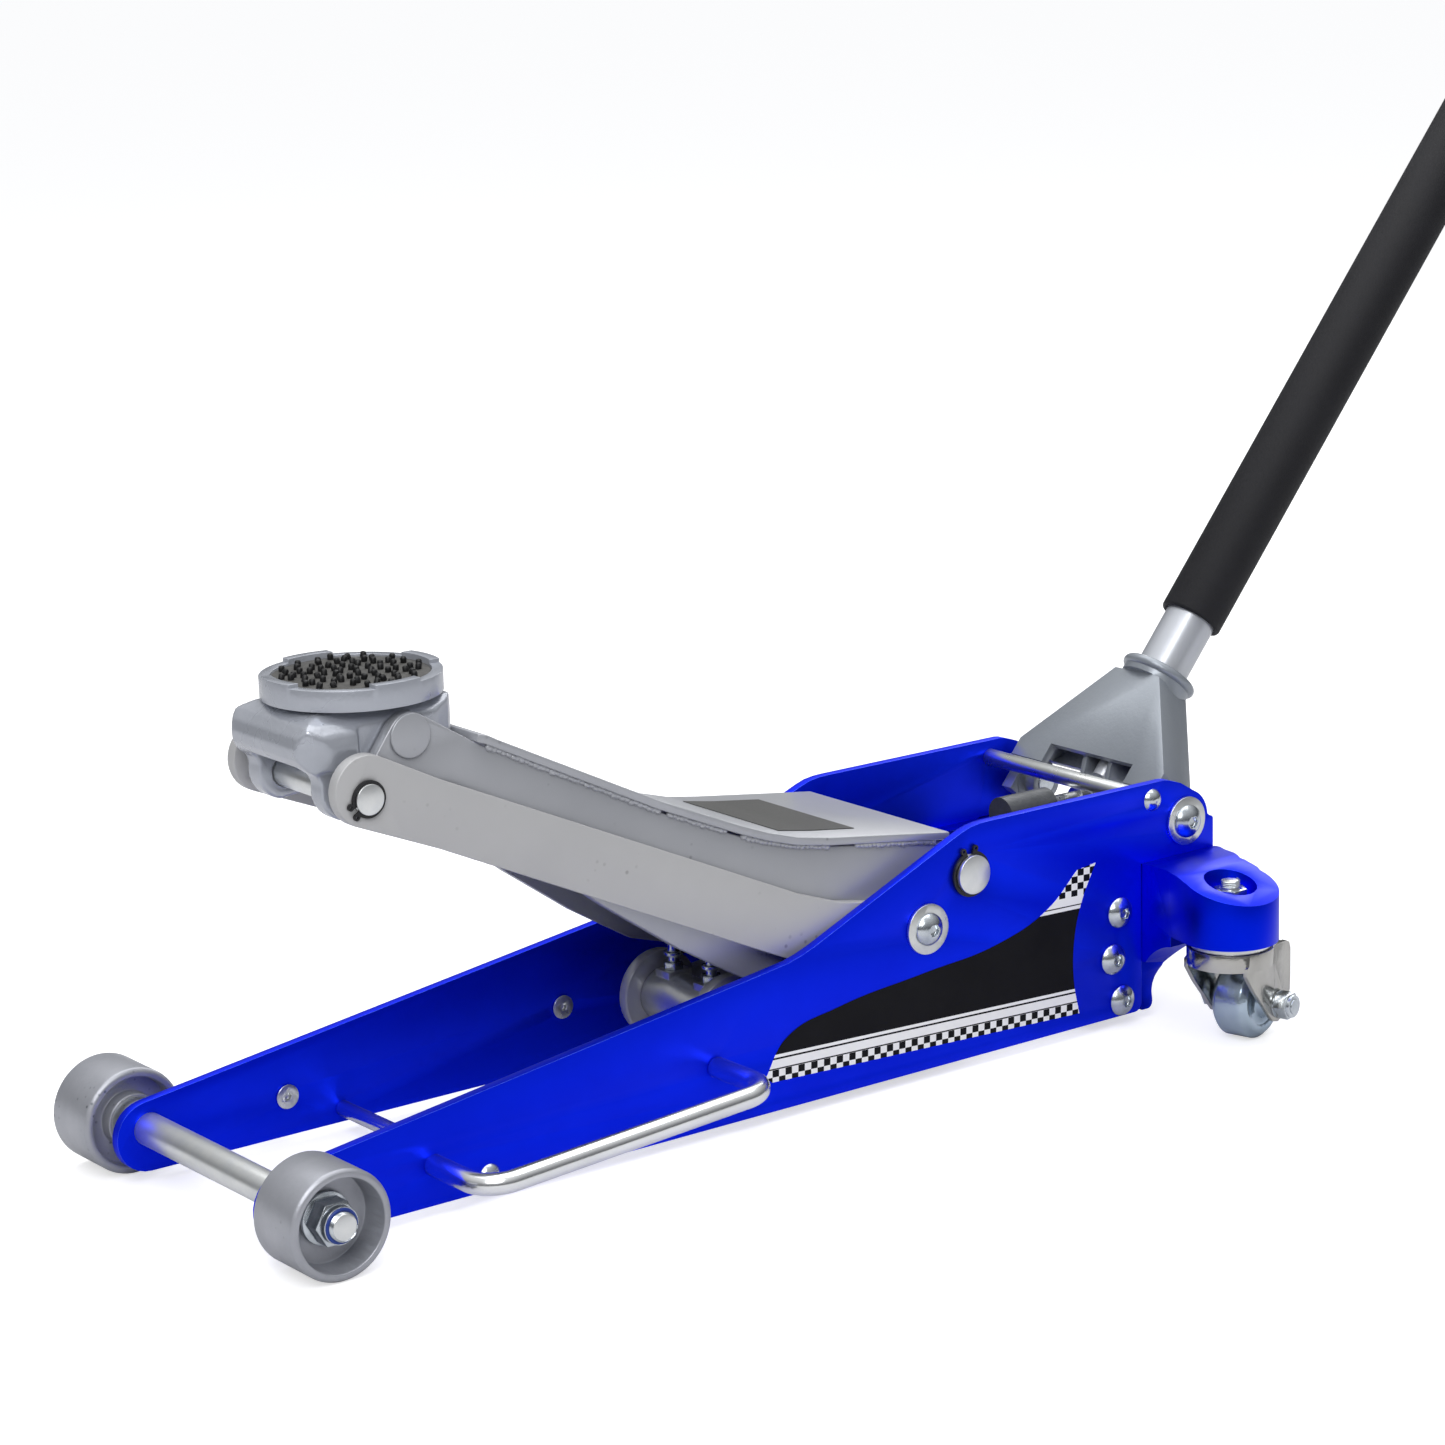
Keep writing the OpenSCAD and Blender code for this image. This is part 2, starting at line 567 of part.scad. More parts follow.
// ---------- casters ----------
module at_caster() { translate([sx, -sy, 0]) rotate([0, 0, cast_a]) children(); }
module stem_part() {
  translate([0, 0, 60.6]) cylinder(r = 6, h = 47.9);
  translate([0, 0, 66]) cylinder(r = 26.5, h = 3.9);
}
module caster_stems() { color([0.75, 0.75, 0.74]) both() translate([sx, -sy, 0]) stem_part(); }
module caster_nuts() {
  color([0.8, 0.8, 0.82]) both() translate([sx, -sy, 93.1]) difference() {
    union() {
      cylinder(r = 12, h = 2);
      translate([0, 0, 1.9]) cylinder(r = 19 / sqrt(3), h = 8.5, $fn = 6);
    }
    translate([0, 0, -1]) cylinder(r = 6.03, h = 20);
  }
}
trail = 20;
module caster_fork() {
  color([0.72, 0.71, 0.68]) at_caster() difference() {
    union() {
      translate([0, 0, 54.5]) difference() {
        cylinder(r = 28, h = 11.2);
        translate([0, 0, 3]) cylinder(r = 25.5, h = 12);
      }
      // folded side legs and the roof between them
      for (s = [-1, 1]) translate([0, s * 22, 0]) slab(-1.5, 1.5,
        [[-18, 57.5], [-18, 52], [-9, 40], [3, 27], [9, 20], [14, 14.7], [20, 13], [26, 15.5], [31, 22], [35, 31], [35.6, 40], [35.6, 59], [34, 63], [30, 65], [-2, 65]]);
      translate([20, -23.4, 57]) cube([14, 46.8, 3]);
      translate([24, -23.4, 57]) cube([10, 46.8, 6]);
    }
    translate([0, 0, 50]) cylinder(r = 10, h = 12);
    translate([0, 0, 57.5]) cylinder(r = 25.5, h = 20);
    translate([trail, 0, cw_r]) bar_y(5.03, -40, 40);
  }
}
module caster_fork_left() { caster_fork(); }
module caster_fork_right() { mirror([0, 1, 0]) caster_fork(); }
module caster_wheel() {
  h = cw_w / 2;
  color([0.72, 0.74, 0.78]) at_caster() translate([trail, 0, cw_r]) difference() {
    rotate([-90, 0, 0]) rotate_extrude()
      polygon([[0, -19], [9, -19], [11, -h], [15, -h + 1], [17, -h], [21, -h], [cw_r, -h + 4], [cw_r, h - 4], [21, h], [17, h], [15, h - 1], [11, h], [9, 19], [0, 19]]);
    bar_y(5.08, -30, 30);
  }
}
module caster_wheel_left() { caster_wheel(); }
module caster_wheel_right() { mirror([0, 1, 0]) caster_wheel(); }
module caster_axle() {
  color([0.8, 0.8, 0.82]) at_caster() translate([trail, 0, cw_r]) union() {
    bar_y(5, -36.5, 28);
    bar_y(9, -25, -23.55);
    hex_y(16, -33.5, -24.9);
    bar_y(7.2, -35.5, -33.4);
    hex_y(16, 23.55, 29);
  }
}
module caster_axle_left() { caster_axle(); }
module caster_axle_right() { mirror([0, 1, 0]) caster_axle(); }

// ---------- output ----------
place() side_plate_left();
place() side_plate_right();
place() front_axle();
place() axle_spacers();
place() axle_nuts();
place() tie_rod();
place() rod_screws();
place() carry_handle_left();
place() carry_handle_right();
place() carry_handle_screws();
place() cross_bar();
place() main_shaft();
place() shaft_clips();
place() link_bolts();
place() pivot_bolts();
place() plate_washers();
place() caster_bracket_left();
place() caster_bracket_right();
place() bracket_bolts();
place() pump_block();
place() ram_cylinder();
place() release_valve();
place() arm_plate_left();
place() arm_plate_right();
place() arm_cover();
place() arm_hub_tube();
place() head_pins();
place() drive_pins();
place() link_left();
place() link_right();
place() lower_pin();
place() lower_pin_clips();
place() saddle_head();
place() saddle_cup();
place() saddle_insert();
place() saddle_nubs();
place() crosshead();
place() hook_bolts();
place() drag_links();
place() ram_rod();
place() return_springs();
place() front_wheel_left();
place() front_wheel_right();
place() handle_yoke();
place() pump_roller();
place() pump_plungers();
place() lower_tube();
place() foam_sleeve();
place() upper_tube();
place() grip();
place() caster_stems();
place() caster_nuts();
place() caster_fork_left();
place() caster_fork_right();
place() caster_wheel_left();
place() caster_wheel_right();
place() caster_axle_left();
place() caster_axle_right();
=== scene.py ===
import bpy, json, math, random
from mathutils import Vector, Matrix


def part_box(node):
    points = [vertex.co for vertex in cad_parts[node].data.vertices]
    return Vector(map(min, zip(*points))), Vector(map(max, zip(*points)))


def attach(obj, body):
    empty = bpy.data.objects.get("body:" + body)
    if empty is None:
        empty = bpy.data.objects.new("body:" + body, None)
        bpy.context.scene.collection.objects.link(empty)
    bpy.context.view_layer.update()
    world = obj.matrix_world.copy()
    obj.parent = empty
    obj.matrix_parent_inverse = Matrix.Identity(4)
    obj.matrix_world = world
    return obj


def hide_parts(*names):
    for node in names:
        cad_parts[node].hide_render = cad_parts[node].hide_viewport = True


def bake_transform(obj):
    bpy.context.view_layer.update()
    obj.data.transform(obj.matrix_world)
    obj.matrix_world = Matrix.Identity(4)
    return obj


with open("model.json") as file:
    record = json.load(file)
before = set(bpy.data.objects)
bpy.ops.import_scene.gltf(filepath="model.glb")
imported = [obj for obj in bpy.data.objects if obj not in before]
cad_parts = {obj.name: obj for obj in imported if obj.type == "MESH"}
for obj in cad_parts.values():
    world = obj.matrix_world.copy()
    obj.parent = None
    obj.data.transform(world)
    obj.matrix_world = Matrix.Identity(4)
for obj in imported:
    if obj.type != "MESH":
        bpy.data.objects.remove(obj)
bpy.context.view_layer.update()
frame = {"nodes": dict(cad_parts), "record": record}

# drawing x starts at the front axle; the model's origin is this far behind it
FRONT = -(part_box("front_axle")[0][0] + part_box("front_axle")[1][0]) / 2
BODY = {n: body for body, names in frame["record"]["behaviour"]["bodies"].items() for n in names}


def at(x, y, z):
    """A drawing point in millimetres as a point of the model."""
    return Vector((x / 1000 - FRONT, y / 1000, z / 1000))


# ---------------------------------------------------------------- camera, floor and lamps
def add_camera():
    """The camera stands off a front corner, a little above the jack, and leans slightly."""
    turn, tilt, roll = math.radians(37.264), math.radians(13.417), math.radians(-1.526)
    aim, distance = at(406.98, 0, 221.18), 2.46217
    back = Vector((-math.sin(turn) * math.cos(tilt), -math.cos(turn) * math.cos(tilt), math.sin(tilt)))
    forward = -back
    right = forward.cross(Vector((0, 0, 1))).normalized()
    up = right.cross(forward)
    side = math.cos(roll) * right + math.sin(roll) * up
    top = -math.sin(roll) * right + math.cos(roll) * up
    place = aim + back * distance
    data = bpy.data.cameras.new("camera")
    data.sensor_width = 36
    data.lens = 98.17
    data.shift_x = -0.03122
    data.shift_y = 0.00457
    data.clip_end = 300
    cam = bpy.data.objects.new("camera", data)
    cam.matrix_world = Matrix(((side.x, top.x, back.x, place.x), (side.y, top.y, back.y, place.y),
                               (side.z, top.z, back.z, place.z), (0, 0, 0, 1)))
    bpy.context.scene.collection.objects.link(cam)
    bpy.context.scene.camera = cam


def add_lamp(name, place, target, size, power):
    """A rectangular lamp, turned to its target."""
    data = bpy.data.lights.new(name, "AREA")
    data.shape = "RECTANGLE"
    data.size, data.size_y = size
    data.energy = power
    lamp = bpy.data.objects.new(name, data)
    lamp.location = place
    lamp.rotation_euler = (Vector(target) - Vector(place)).to_track_quat("-Z", "Y").to_euler()
    bpy.context.scene.collection.objects.link(lamp)


def light_room():
    """A sky that darkens towards the floor, a key lamp, a wide top lamp and a weak rear lamp."""
    scene = bpy.context.scene
    scene.view_settings.view_transform = "Standard"
    world = bpy.data.worlds.new("studio")
    scene.world = world
    world.use_nodes = True
    nodes, links = world.node_tree.nodes, world.node_tree.links
    sky = nodes["Background"]
    where = nodes.new("ShaderNodeTexCoord")
    split = nodes.new("ShaderNodeSeparateXYZ")
    ramp = nodes.new("ShaderNodeValToRGB")
    ramp.color_ramp.elements[0].position = 0.0
    ramp.color_ramp.elements[0].color = (0.05, 0.055, 0.06, 1)
    ramp.color_ramp.elements[1].position = 0.8
    ramp.color_ramp.elements[1].color = (0.80, 0.81, 0.82, 1)
    mid = ramp.color_ramp.elements.new(0.3)
    mid.color = (0.26, 0.265, 0.275, 1)
    links.new(where.outputs["Generated"], split.inputs[0])
    links.new(split.outputs["Z"], ramp.inputs["Fac"])
    links.new(ramp.outputs["Color"], sky.inputs["Color"])
    sky.inputs["Strength"].default_value = 0.9
    middle = (-0.25, 0, 0.1)
    add_lamp("key_lamp", (-2.2, -1.9, 2.4), middle, (1.8, 1.8), 54)
    add_lamp("top_lamp", (0.1, 0.3, 2.9), (0, 0, 0), (3.4, 3.4), 62)
    add_lamp("rear_lamp", (2.4, 1.6, 1.8), middle, (1.2, 1.6), 18)


def deselect():
    if bpy.context.object and bpy.context.object.mode != "OBJECT":
        bpy.ops.object.mode_set(mode="OBJECT")
    bpy.ops.object.select_all(action="DESELECT")


def pick(obj):
    """Selects one object and nothing else."""
    deselect()
    obj.select_set(True)
    bpy.context.view_layer.objects.active = obj


def add_floor():
    """A pale floor that looks nearly white to the camera and lights the jack no more for it."""
    deselect()
    bpy.ops.mesh.primitive_plane_add(size=240, location=(0, 0, -0.0004))
    floor = bpy.context.object
    floor.name = "floor"
    mat = bpy.data.materials.new("pale_floor")
    mat.use_nodes = True
    shader = mat.node_tree.nodes["Principled BSDF"]
    shader.inputs["Base Color"].default_value = (0.62, 0.62, 0.63, 1)
    shader.inputs["Roughness"].default_value = 0.9
    shader.inputs["Specular IOR Level"].default_value = 0.1
    shader.inputs["Emission Color"].default_value = (1, 1, 1, 1)
    seen = mat.node_tree.nodes.new("ShaderNodeLightPath")
    lift = mat.node_tree.nodes.new("ShaderNodeMath")
    lift.operation = "MULTIPLY"
    lift.inputs[1].default_value = 0.62
    mat.node_tree.links.new(seen.outputs["Is Camera Ray"], lift.inputs[0])
    mat.node_tree.links.new(lift.outputs[0], shader.inputs["Emission Strength"])
    floor.data.materials.append(mat)


# ---------------------------------------------------------------- shared surface effects
def new_group(name, inputs, outputs):
    group = bpy.data.node_groups.new(name, "ShaderNodeTree")
    for label, kind, value in inputs:
        group.interface.new_socket(label, in_out="INPUT", socket_type=kind).default_value = value
    for label, kind in outputs:
        group.interface.new_socket(label, in_out="OUTPUT", socket_type=kind)
    return group, group.nodes.new("NodeGroupInput"), group.nodes.new("NodeGroupOutput")


def make_grain_group():
    """Soft clouding and fine grain of a coated or cast surface."""
    scales = [("Cloud Scale", "NodeSocketFloat", 12), ("Grain Scale", "NodeSocketFloat", 500)]
    masks = [("Cloud", "NodeSocketFloat"), ("Grain", "NodeSocketFloat")]
    group, into, out = new_group("surface_grain", scales, masks)
    where = group.nodes.new("ShaderNodeTexCoord")
    for scale, output, detail in (("Cloud Scale", "Cloud", 4), ("Grain Scale", "Grain", 3)):
        noise = group.nodes.new("ShaderNodeTexNoise")
        noise.inputs["Detail"].default_value = detail
        noise.inputs["Roughness"].default_value = 0.6
        spread = group.nodes.new("ShaderNodeMapRange")
        spread.inputs["From Min"].default_value = 0.3
        spread.inputs["From Max"].default_value = 0.7
        group.links.new(where.outputs["Object"], noise.inputs["Vector"])
        group.links.new(into.outputs[scale], noise.inputs["Scale"])
        group.links.new(noise.outputs["Fac"], spread.inputs["Value"])
        group.links.new(spread.outputs[0], out.inputs[output])
    return group


def make_fleck_group():
    """Sparse dark pits and specks."""
    settings = [("Scale", "NodeSocketFloat", 300), ("Cover", "NodeSocketFloat", 0.3)]
    group, into, out = new_group("flecks", settings, [("Mask", "NodeSocketFloat")])
    where = group.nodes.new("ShaderNodeTexCoord")
    cells = group.nodes.new("ShaderNodeTexVoronoi")
    patch = group.nodes.new("ShaderNodeTexNoise")
    patch.inputs["Scale"].default_value = 35
    near = group.nodes.new("ShaderNodeMapRange")
    near.inputs["From Min"].default_value = 0.22
    near.inputs["From Max"].default_value = 0.10
    some = group.nodes.new("ShaderNodeMapRange")
    some.inputs["From Min"].default_value = 0.55
    some.inputs["From Max"].default_value = 0.7
    both = group.nodes.new("ShaderNodeMath")
    both.operation = "MULTIPLY"
    share = group.nodes.new("ShaderNodeMath")
    share.operation = "MULTIPLY"
    group.links.new(where.outputs["Object"], cells.inputs["Vector"])
    group.links.new(where.outputs["Object"], patch.inputs["Vector"])
    group.links.new(into.outputs["Scale"], cells.inputs["Scale"])
    group.links.new(cells.outputs["Distance"], near.inputs["Value"])
    group.links.new(patch.outputs["Fac"], some.inputs["Value"])
    group.links.new(near.outputs[0], both.inputs[0])
    group.links.new(some.outputs[0], both.inputs[1])
    group.links.new(both.outputs[0], share.inputs[0])
    group.links.new(into.outputs["Cover"], share.inputs[1])
    group.links.new(share.outputs[0], out.inputs["Mask"])
    return group


def make_streak_group():
    """Fine lines left by turning, drawing or brushing, along one axis."""
    settings = [("Stretch", "NodeSocketVector", (1, 1, 1)), ("Scale", "NodeSocketFloat", 200)]
    group, into, out = new_group("tool_lines", settings, [("Lines", "NodeSocketFloat")])
    where = group.nodes.new("ShaderNodeTexCoord")
    pull = group.nodes.new("ShaderNodeVectorMath")
    pull.operation = "MULTIPLY"
    noise = group.nodes.new("ShaderNodeTexNoise")
    noise.inputs["Detail"].default_value = 2
    group.links.new(where.outputs["Object"], pull.inputs[0])
    group.links.new(into.outputs["Stretch"], pull.inputs[1])
    group.links.new(pull.outputs[0], noise.inputs["Vector"])
    group.links.new(into.outputs["Scale"], noise.inputs["Scale"])
    group.links.new(noise.outputs["Fac"], out.inputs["Lines"])
    return group


GRAIN, FLECKS, LINES = make_grain_group(), make_fleck_group(), make_streak_group()


def finish(name, light, dark, rough, metal=0.0, rough_swing=0.08, cloud=12, grain=500, bump=0.15,
           depth=0.0001, flecks=0.0, fleck_scale=300, fleck_color=(0.02, 0.02, 0.02), lines=None,
           line_scale=200, line_share=0.5, coat=0.0, coat_rough=0.1, specular=0.5):
    """Two clouded tones, uneven gloss and grain in relief, and if asked flecks and tool lines."""
    mat = bpy.data.materials.new(name)
    mat.use_nodes = True
    nodes, links = mat.node_tree.nodes, mat.node_tree.links
    shader = nodes["Principled BSDF"]
    shader.inputs["Metallic"].default_value = metal
    shader.inputs["Specular IOR Level"].default_value = specular
    shader.inputs["Coat Weight"].default_value = coat
    shader.inputs["Coat Roughness"].default_value = coat_rough
    surface = nodes.new("ShaderNodeGroup")
    surface.node_tree = GRAIN
    surface.inputs["Cloud Scale"].default_value = cloud
    surface.inputs["Grain Scale"].default_value = grain
    tone = nodes.new("ShaderNodeMix")
    tone.data_type = "RGBA"
    tone.inputs["A"].default_value = (*light, 1)
    tone.inputs["B"].default_value = (*dark, 1)
    links.new(surface.outputs["Cloud"], tone.inputs["Factor"])
    color = tone.outputs["Result"]
    gloss = nodes.new("ShaderNodeMapRange")
    gloss.inputs["To Min"].default_value = rough - rough_swing / 2
    gloss.inputs["To Max"].default_value = rough + rough_swing / 2
    links.new(surface.outputs["Cloud"], gloss.inputs["Value"])
    height = surface.outputs["Grain"]
    if lines:
        drawn = nodes.new("ShaderNodeGroup")
        drawn.node_tree = LINES
        drawn.inputs["Stretch"].default_value = lines
        drawn.inputs["Scale"].default_value = line_scale
        join = nodes.new("ShaderNodeMix")
        join.inputs["Factor"].default_value = line_share
        links.new(surface.outputs["Grain"], join.inputs["A"])
        links.new(drawn.outputs["Lines"], join.inputs["B"])
        height = join.outputs["Result"]
    if flecks:
        pits = nodes.new("ShaderNodeGroup")
        pits.node_tree = FLECKS
        pits.inputs["Scale"].default_value = fleck_scale
        pits.inputs["Cover"].default_value = flecks
        spot = nodes.new("ShaderNodeMix")
        spot.data_type = "RGBA"
        spot.inputs["B"].default_value = (*fleck_color, 1)
        links.new(pits.outputs["Mask"], spot.inputs["Factor"])
        links.new(color, spot.inputs["A"])
        color = spot.outputs["Result"]
    relief = nodes.new("ShaderNodeBump")
    relief.inputs["Strength"].default_value = bump
    relief.inputs["Distance"].default_value = depth
    links.new(height, relief.inputs["Height"])
    links.new(relief.outputs["Normal"], shader.inputs["Normal"])
    links.new(color, shader.inputs["Base Color"])
    links.new(gloss.outputs[0], shader.inputs["Roughness"])
    return mat


BLUE = finish("blue_anodised", (0.0005, 0.024, 1.0), (0.0004, 0.017, 0.86), 0.47, metal=0.85, specular=0.25,
              cloud=7, grain=900, bump=0.10, depth=0.00005)
BLUE_DEEP = finish("blue_anodised_bracket", (0.0005, 0.018, 0.86), (0.0004, 0.013, 0.72), 0.38, metal=1.0,
                   specular=0.2, cloud=7, grain=900, bump=0.10, depth=0.00005)
# a lighter blue for the eased edges of the blue parts: a painted highlight along every eased edge
BLUE_EDGE_HIGHLIGHT = finish("blue_edge_painted_highlight", (0.14, 0.26, 1.0), (0.06, 0.14, 0.95), 0.30, metal=0.9, cloud=60,
                   grain=700, bump=0.15, depth=0.00005)
GREY = finish("grey_enamel", (0.44, 0.45, 0.48), (0.39, 0.40, 0.43), 0.36, metal=0.4, cloud=9, grain=700,
              bump=0.22, depth=0.0001, flecks=0.5, fleck_scale=160, fleck_color=(0.10, 0.10, 0.11))
CAST = finish("cast_grey_enamel", (0.46, 0.48, 0.53), (0.40, 0.42, 0.47), 0.27, metal=0.45, cloud=14,
              grain=260, bump=0.3, depth=0.0003, coat=0.25, coat_rough=0.12)
LINK = finish("link_enamel", (0.50, 0.50, 0.505), (0.46, 0.46, 0.47), 0.46, metal=0.2, cloud=9, grain=650,
              bump=0.25, depth=0.0001, flecks=0.55, fleck_scale=140, fleck_color=(0.12, 0.11, 0.11))
YOKE = finish("yoke_enamel", (0.31, 0.335, 0.37), (0.26, 0.285, 0.32), 0.34, metal=0.45, cloud=12,
              grain=420, bump=0.3, depth=0.0002, coat=0.2, coat_rough=0.15)
ZINC = finish("zinc_plate", (0.80, 0.81, 0.80), (0.62, 0.64, 0.64), 0.30, metal=1.0, rough_swing=0.14,
              cloud=50, grain=420, bump=0.25, depth=0.0001, flecks=0.7, fleck_scale=260,
              fleck_color=(0.10, 0.10, 0.10))
TURNED = finish("turned_zinc", (0.80, 0.81, 0.80), (0.70, 0.72, 0.73), 0.33, metal=0.9, cloud=80, grain=300,
                bump=0.15, depth=0.00005, lines=(1, 0.02, 1), line_scale=900, line_share=0.6)
BOLT = finish("bright_zinc", (0.68, 0.72, 0.76), (0.46, 0.50, 0.54), 0.22, metal=1.0, cloud=120, grain=600,
              bump=0.2, depth=0.0001)
CHROME = finish("bright_chrome", (0.90, 0.91, 0.92), (0.78, 0.79, 0.80), 0.22, metal=1.0, rough_swing=0.05,
                cloud=18, grain=300, bump=0.05, depth=0.0001)
STAMPED = finish("stamped_chrome", (0.56, 0.55, 0.52), (0.36, 0.355, 0.34), 0.20, metal=1.0, cloud=22,
                 grain=260, bump=0.3, depth=0.0002)
ROLLER = finish("roller_steel", (0.44, 0.45, 0.49), (0.36, 0.37, 0.41), 0.42, metal=0.6, cloud=30,
                grain=420, bump=0.3, depth=0.0002, flecks=0.7, fleck_scale=180,
                fleck_color=(0.10, 0.11, 0.13))
CASTER = finish("caster_steel", (0.50, 0.60, 0.70), (0.34, 0.43, 0.54), 0.22, metal=0.8, cloud=30,
                grain=320, bump=0.35, depth=0.0002)
BLACK = finish("black_oxide", (0.020, 0.020, 0.022), (0.010, 0.010, 0.012), 0.32, metal=0.3, cloud=60,
               grain=500)
SPRING = finish("spring_black", (0.05, 0.05, 0.055), (0.02, 0.02, 0.022), 0.22, metal=0.8, cloud=60,
                grain=500)
NYLON = finish("blue_nylon", (0.01, 0.05, 0.30), (0.01, 0.03, 0.22), 0.4, cloud=90, grain=700)
RUBBER = finish("black_rubber", (0.004, 0.004, 0.005), (0.009, 0.009, 0.010), 0.5, cloud=60, grain=900,
                bump=0.4, depth=0.0002)
FOAM = finish("foam_rubber", (0.006, 0.006, 0.008), (0.011, 0.011, 0.014), 0.62, cloud=25, grain=1400,
              bump=0.5, depth=0.0003, specular=0.3)
PAD = finish("pad_plastic", (0.075, 0.073, 0.068), (0.045, 0.044, 0.042), 0.6, cloud=220, grain=1100,
             bump=0.4, depth=0.0002)
TUBE = finish("tube_enamel", (0.52, 0.54, 0.58), (0.47, 0.49, 0.53), 0.30, metal=0.45, cloud=8, grain=500,
              bump=0.12, depth=0.0001, coat=0.3)
DARK = finish("dark_casting", (0.10, 0.105, 0.115), (0.06, 0.065, 0.07), 0.45, metal=0.5, cloud=40,
              grain=260, bump=0.5, depth=0.0004)
LABEL = finish("dark_label", (0.055, 0.055, 0.053), (0.085, 0.085, 0.082), 0.45, metal=0.2, cloud=420,
               grain=1500, bump=0.2, depth=0.0001)


# ---------------------------------------------------------------- ways of making a piece
def solid_copy(node, name):
    """A node's mesh with its doubles merged and its flat faces joined, ready to be worked."""
    src = frame["nodes"][node]
    obj = bpy.data.objects.new(name, src.data.copy())
    bpy.context.scene.collection.objects.link(obj)
    pick(obj)
    bpy.ops.object.mode_set(mode="EDIT")
    bpy.ops.mesh.select_all(action="SELECT")
    bpy.ops.mesh.remove_doubles(threshold=0.000002)
    bpy.ops.mesh.dissolve_limited(angle_limit=math.radians(1.2))
    bpy.ops.object.mode_set(mode="OBJECT")
    return obj


def work(obj, kind, **settings):
    """Adds one modifier and applies it."""
    pick(obj)
    mod = obj.modifiers.new(kind.lower(), kind)
    for key, value in settings.items():
        setattr(mod, key, value)
    bpy.ops.object.modifier_apply(modifier=mod.name)


def smooth(obj, angle):
    """Smooth shading, with a crease wherever faces meet at more than the angle."""
    pick(obj)
    bpy.ops.object.shade_smooth_by_angle(angle=math.radians(angle))


def eased(node, mat, width, edge):
    """The node again with eased edges; the eased strip may have its own finish."""
    obj = solid_copy(node, node + "_eased")
    obj.data.materials.clear()
    obj.data.materials.append(mat)
    if edge:
        obj.data.materials.append(edge)
    for f in obj.data.polygons:
        f.material_index = 0
    work(obj, "BEVEL", width=width / 1000, segments=2, limit_method="ANGLE", angle_limit=math.radians(32),
         material=1 if edge else -1, use_clamp_overlap=True, harden_normals=False)
    smooth(obj, 35)
    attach(obj, BODY[node])
    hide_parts(node)


def coat_nodes():
    """Nodes whose shape stands as it is get their finish."""
    plain = {
        BLACK: ("shaft_clips", "lower_pin_clips"),
        TUBE: ("lower_tube", "upper_tube"),
        DARK: ("ram_cylinder", "pump_block", "arm_hub_tube"),
        ZINC: ("ram_rod", "pump_plungers", "pump_roller", "release_valve"),
    }
    for mat, names in plain.items():
        for n in names:
            mesh = frame["nodes"][n].data
            mesh.materials.clear()
            mesh.materials.append(mat)


def ease_nodes():
    """Nodes that get eased edges: finish, width of the ease in mm, finish of the eased strip, nodes."""
    table = [
        # the eased strips of the side plates and caster brackets get the lighter blue, a painted edge
        # highlight
        (BLUE, 1.1, BLUE_EDGE_HIGHLIGHT, ("side_plate_left", "side_plate_right")),
        (BLUE_DEEP, 1.3, BLUE_EDGE_HIGHLIGHT, ("caster_bracket_left", "caster_bracket_right")),
        (LINK, 0.7, None, ("link_left", "link_right")),
        (GREY, 0.8, None, ("arm_plate_left", "arm_plate_right", "arm_cover")),
        (YOKE, 1.2, None, ("handle_yoke",)),
        (GREY, 1.0, None, ("drag_links", "head_pins", "drive_pins")),
        (TURNED, 0.9, None, ("main_shaft", "lower_pin", "front_axle", "crosshead")),
        (ROLLER, 0.7, None, ("front_wheel_left", "front_wheel_right")),
        (CASTER, 0.8, None, ("caster_wheel_left", "caster_wheel_right")),
        (STAMPED, 0.7, None, ("caster_fork_left", "caster_fork_right")),
        (BOLT, 0.5, None, ("axle_nuts", "rod_screws", "link_bolts", "pivot_bolts", "bracket_bolts",
                           "caster_nuts", "caster_axle_left", "caster_axle_right", "hook_bolts")),
        (CHROME, 0.4, None, ("tie_rod",)),
        (CAST, 1.0, None, ("saddle_cup",)),
        (ZINC, 0.4, None, ("plate_washers", "cross_bar", "axle_spacers", "caster_stems",
                           "carry_handle_screws")),
        (PAD, 0.5, None, ("saddle_insert",)),
        (FOAM, 2.5, None, ("foam_sleeve", "grip")),
        (CHROME, 0.6, None, ("carry_handle_left", "carry_handle_right")),
    ]
    for mat, width, edge, names in table:
        for n in names:
            eased(n, mat, width, edge)


def cast_head():
    """The saddle head is a casting, so all its edges are well rounded."""
    obj = solid_copy("saddle_head", "cast_head")
    work(obj, "REMESH", mode="VOXEL", voxel_size=0.0012)
    work(obj, "SMOOTH", factor=0.5, iterations=5)
    done(obj, "cast_head", "head", CAST, 60, stands_for=("saddle_head",))


def joined(parts, name):
    """Several meshes made into one."""
    deselect()
    for p in parts:
        p.select_set(True)
    bpy.context.view_layer.objects.active = parts[0]
    if len(parts) > 1:
        bpy.ops.object.join()
    obj = bpy.context.object
    obj.name = name
    return obj


def twin(obj, matrix):
    """A copy of a small piece, with its own mesh, in another place."""
    other = bpy.data.objects.new(obj.name, obj.data.copy())
    bpy.context.scene.collection.objects.link(other)
    other.matrix_world = matrix
    return other


def done(obj, name, body, mat, angle, stands_for=()):
    """Last steps of a made piece: finish, shading, place, and the body it moves with."""
    obj.name = name
    obj.data.materials.clear()
    obj.data.materials.append(mat)
    smooth(obj, angle)
    bpy.ops.object.transform_apply(location=True, rotation=True, scale=True)
    if body:
        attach(obj, body)
    if stands_for:
        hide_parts(*stands_for)
    return obj


